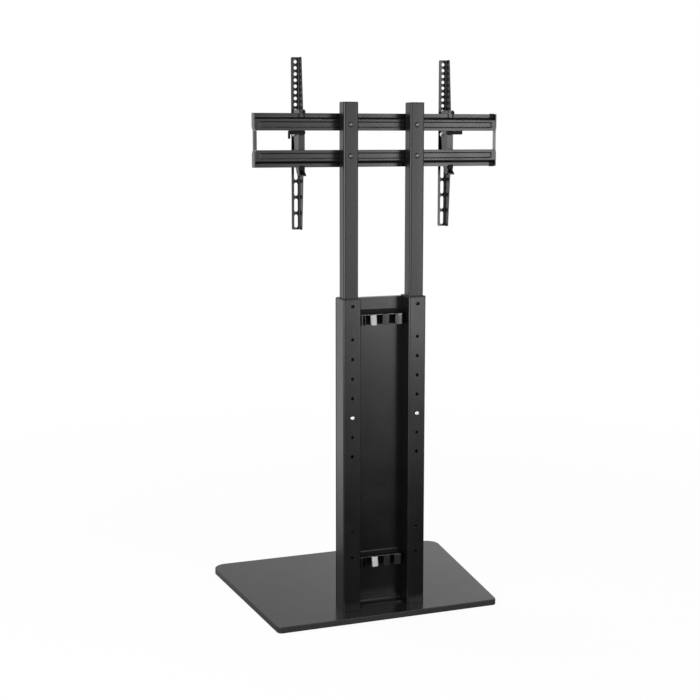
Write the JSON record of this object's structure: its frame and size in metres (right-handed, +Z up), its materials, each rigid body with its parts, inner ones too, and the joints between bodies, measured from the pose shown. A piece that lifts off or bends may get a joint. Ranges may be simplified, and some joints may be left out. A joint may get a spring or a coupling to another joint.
{
  "type": "television floor stand",
  "caption": "Black steel television floor stand: flared base, slotted column, telescoping mast and two tilting arms hooked over horizontal rails.",
  "frame": {"origin": "centre of the base's outline, on the floor", "axes": "+Z up, +Y from the column towards the screen, +X to the right seen from behind the column"},
  "size_m": [0.6852, 0.518, 1.424],
  "materials": {
    "satin_black_coat": "satin powder coat",
    "gloss_black_coat": "semi-gloss powder coat",
    "black_plastic": "moulded, matte",
    "rubber": "matte",
    "zinc": "bright zinc plate",
    "inner_steel": "dark, as rolled"
  },
  "bodies": {
    "stand": {"base_pan": "gloss_black_coat", "base_stiffener": "inner_steel", "base_bolt_left_rear": "zinc", "base_bolt_left_front": "zinc", "base_bolt_right_rear": "zinc", "base_bolt_right_front": "zinc", "foot_pad_rear_left": "rubber", "foot_pad_front_left": "rubber", "foot_pad_rear_right": "rubber", "foot_pad_front_right": "rubber", "sleeve_left": "satin_black_coat", "sleeve_foot_left": "inner_steel", "guide_collar_left": "black_plastic", "height_bolt_left": "zinc", "sleeve_right": "satin_black_coat", "sleeve_foot_right": "inner_steel", "guide_collar_right": "black_plastic", "height_bolt_right": "zinc", "centre_panel": "satin_black_coat", "foot_bracket": "satin_black_coat", "front_cover": "satin_black_coat", "cable_clip_top": "black_plastic", "cable_clip_bottom": "black_plastic"},
    "mast": {"post_left": "satin_black_coat", "post_cap_left": "black_plastic", "guide_shoe_left": "black_plastic", "rail_end_tie_left": "satin_black_coat", "post_right": "satin_black_coat", "post_cap_right": "black_plastic", "guide_shoe_right": "black_plastic", "rail_end_tie_right": "satin_black_coat", "upper_rail": "satin_black_coat", "lower_rail": "satin_black_coat", "slide_stop_upper": "black_plastic", "slide_stop_lower": "black_plastic", "rail_bolt_upper_left": "zinc", "rail_nut_upper_left": "zinc", "rail_bolt_upper_right": "zinc", "rail_nut_upper_right": "zinc", "rail_bolt_lower_left": "zinc", "rail_nut_lower_left": "zinc", "rail_bolt_lower_right": "zinc", "rail_nut_lower_right": "zinc"},
    "left_carriage": {"hook_bracket_left": "satin_black_coat"},
    "left_arm_tilting": {"arm_left": "satin_black_coat", "tilt_pivot_left": "zinc", "tilt_guide_bolt_left": "zinc"},
    "left_lever": {"lock_lever_left": "black_plastic"},
    "left_latch": {"latch_left": "black_plastic"},
    "right_carriage": {"hook_bracket_right": "satin_black_coat"},
    "right_arm_tilting": {"arm_right": "satin_black_coat", "tilt_pivot_right": "zinc", "tilt_guide_bolt_right": "zinc"},
    "right_lever": {"lock_lever_right": "black_plastic"},
    "right_latch": {"latch_right": "black_plastic"}
  },
  "joints": [
    {"name": "mast_slide", "type": "slide", "parent": "stand", "child": "mast", "axis": [0, 0, 1], "range_m": [-0.1, 0.2]},
    {"name": "left_arm_slide", "type": "slide", "parent": "mast", "child": "left_carriage", "axis": [1, 0, 0], "range_m": [-0.08, 0.1]},
    {"name": "left_arm_tilt", "type": "hinge", "parent": "left_carriage", "child": "left_arm_tilting", "pos_m": [-0.2, -0.119, 1.274], "axis": [-1, 0, 0], "range_deg": [-5, 8]},
    {"name": "left_lock_lever", "type": "hinge", "parent": "left_carriage", "child": "left_lever", "pos_m": [-0.2016, -0.1553, 1.2385], "axis": [0, -1, 0], "range_deg": [0, 90]},
    {"name": "left_latch_hinge", "type": "hinge", "parent": "left_carriage", "child": "left_latch", "pos_m": [-0.2, -0.141, 1.1432], "axis": [1, 0, 0], "range_deg": [0, 18]},
    {"name": "right_arm_slide", "type": "slide", "parent": "mast", "child": "right_carriage", "axis": [1, 0, 0], "range_m": [-0.1, 0.08]},
    {"name": "right_arm_tilt", "type": "hinge", "parent": "right_carriage", "child": "right_arm_tilting", "pos_m": [0.2, -0.119, 1.274], "axis": [-1, 0, 0], "range_deg": [-5, 8]},
    {"name": "right_lock_lever", "type": "hinge", "parent": "right_carriage", "child": "right_lever", "pos_m": [0.1984, -0.1553, 1.2385], "axis": [0, 1, 0], "range_deg": [0, 90]},
    {"name": "right_latch_hinge", "type": "hinge", "parent": "right_carriage", "child": "right_latch", "pos_m": [0.2, -0.141, 1.1432], "axis": [1, 0, 0], "range_deg": [0, 18]}
  ]
}
